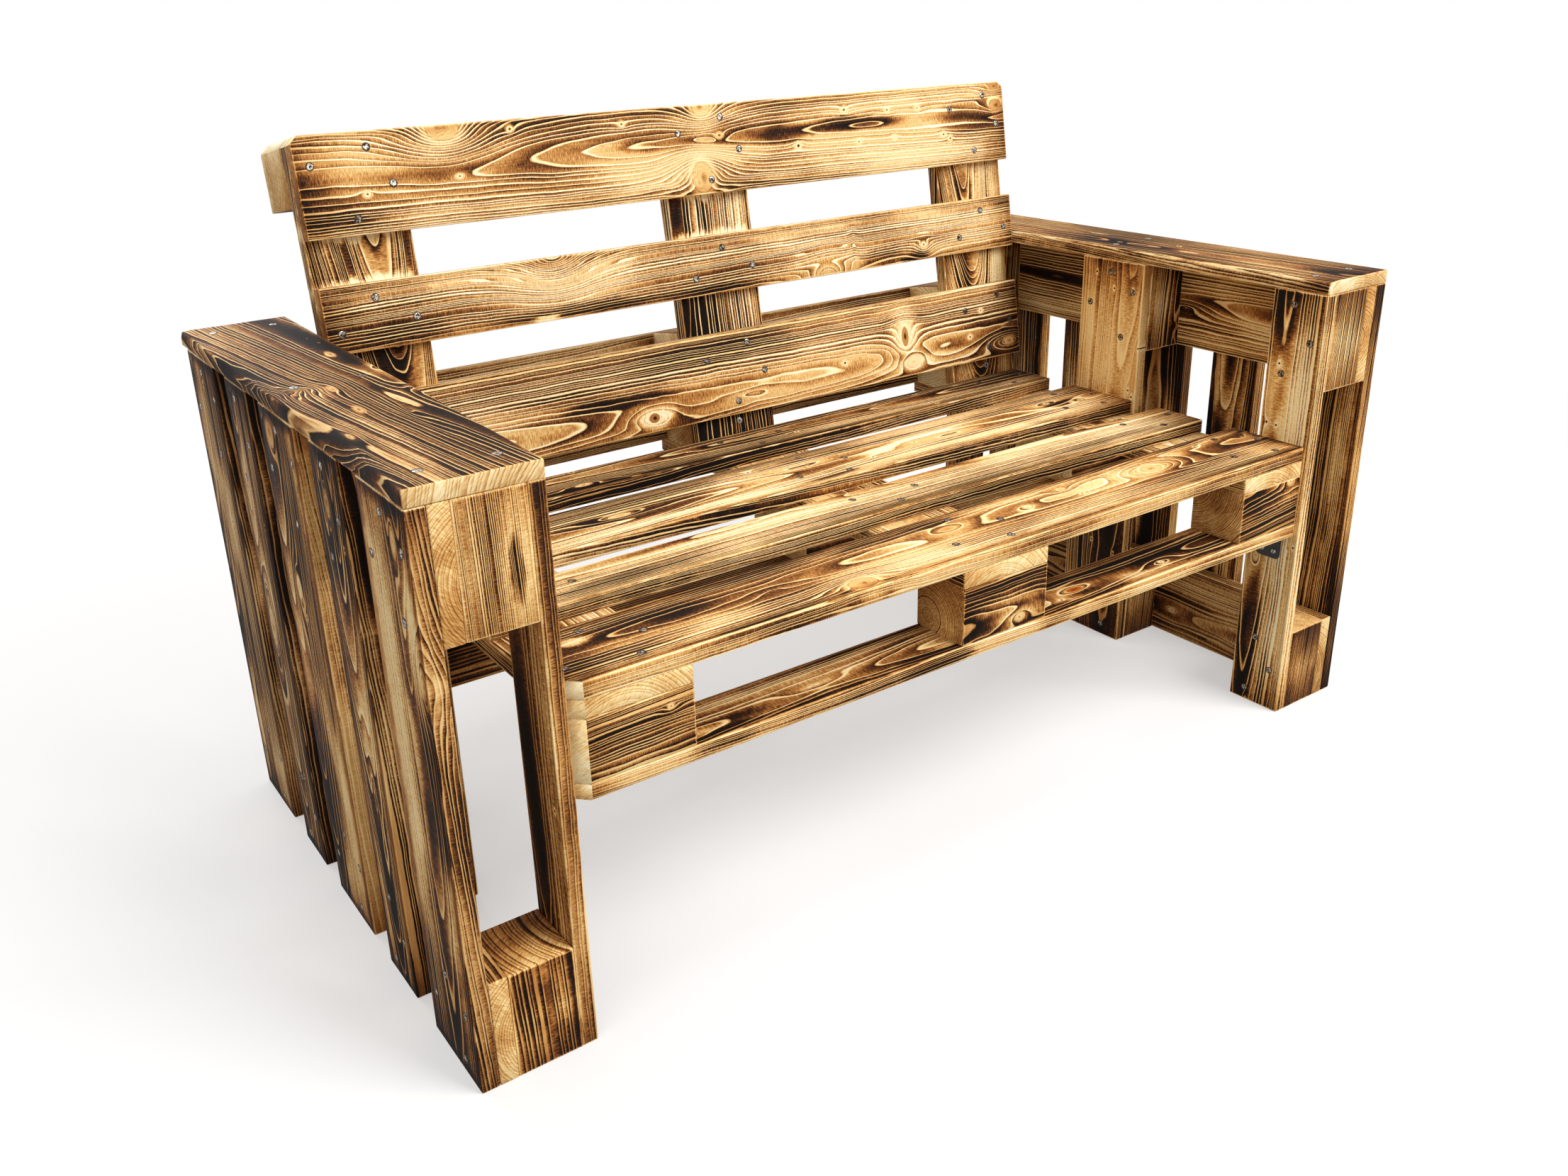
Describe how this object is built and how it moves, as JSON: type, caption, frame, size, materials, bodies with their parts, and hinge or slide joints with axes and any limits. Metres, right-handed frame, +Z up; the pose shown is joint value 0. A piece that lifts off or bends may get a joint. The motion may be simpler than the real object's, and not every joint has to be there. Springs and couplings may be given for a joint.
{
  "type": "pallet sofa",
  "caption": "Garden sofa with a slatted seat, a tilted slatted backrest and box-shaped slatted arms, made of cut wooden transport pallets.",
  "frame": {"origin": "on the floor, under the middle of the sofa's bounding box", "axes": "+X along the seat, to the right as seen from the front; +Y from the front to the back; +Z up"},
  "size_m": [1.476, 0.8, 0.921],
  "materials": {
    "deck_wood": "flamed and brushed softwood, golden with dark bands",
    "stringer_wood": "flamed and brushed softwood, brown with charred bands",
    "block_wood": "flamed softwood blocks with light and dark stripes",
    "skid_wood": "flamed and brushed softwood, dark brown",
    "armrest_wood": "deeply flamed softwood, near black with cream lines",
    "steel": "dull zinc-plated steel",
    "black_steel": "black painted steel"
  },
  "bodies": {
    "root": {"left_arm_deck_board_1": "deck_wood", "left_arm_deck_board_2": "deck_wood", "left_arm_deck_board_3": "deck_wood", "left_arm_deck_board_4": "deck_wood", "left_arm_deck_board_5": "deck_wood", "left_arm_bottom_stringer": "stringer_wood", "left_arm_top_stringer": "stringer_wood", "left_arm_bottom_blocks": "block_wood", "left_arm_top_blocks": "block_wood", "left_arm_front_skid_board": "skid_wood", "left_arm_middle_skid_board": "skid_wood", "left_arm_rear_skid_board": "skid_wood", "left_armrest": "armrest_wood", "left_arm_nails": "steel", "right_arm_deck_board_1": "deck_wood", "right_arm_deck_board_2": "deck_wood", "right_arm_deck_board_3": "deck_wood", "right_arm_deck_board_4": "deck_wood", "right_arm_deck_board_5": "deck_wood", "right_arm_bottom_stringer": "stringer_wood", "right_arm_top_stringer": "stringer_wood", "right_arm_bottom_blocks": "block_wood", "right_arm_top_blocks": "block_wood", "right_arm_front_skid_board": "skid_wood", "right_arm_middle_skid_board": "skid_wood", "right_arm_rear_skid_board": "skid_wood", "right_armrest": "armrest_wood", "right_arm_nails": "steel", "seat_deck_board_1": "deck_wood", "seat_deck_board_2": "deck_wood", "seat_deck_board_3": "deck_wood", "seat_deck_board_4": "deck_wood", "seat_left_stringer": "stringer_wood", "seat_middle_stringer": "stringer_wood", "seat_right_stringer": "stringer_wood", "seat_front_blocks": "block_wood", "seat_middle_blocks": "block_wood", "seat_front_skid_board": "skid_wood", "seat_middle_skid_board": "skid_wood", "seat_nails": "steel", "back_deck_board_1": "deck_wood", "back_deck_board_2": "deck_wood", "back_deck_board_3": "deck_wood", "back_left_stringer": "stringer_wood", "back_middle_stringer": "stringer_wood", "back_right_stringer": "stringer_wood", "back_top_blocks": "block_wood", "back_lower_blocks": "block_wood", "back_top_skid_board": "skid_wood", "back_lower_skid_board": "skid_wood", "back_nails": "steel", "seat_brackets": "black_steel", "bracket_screws": "black_steel", "armrest_screws": "steel", "back_stringer_screws": "steel", "back_foot_screws": "steel", "arm_to_back_screws": "steel"}
  },
  "joints": []
}
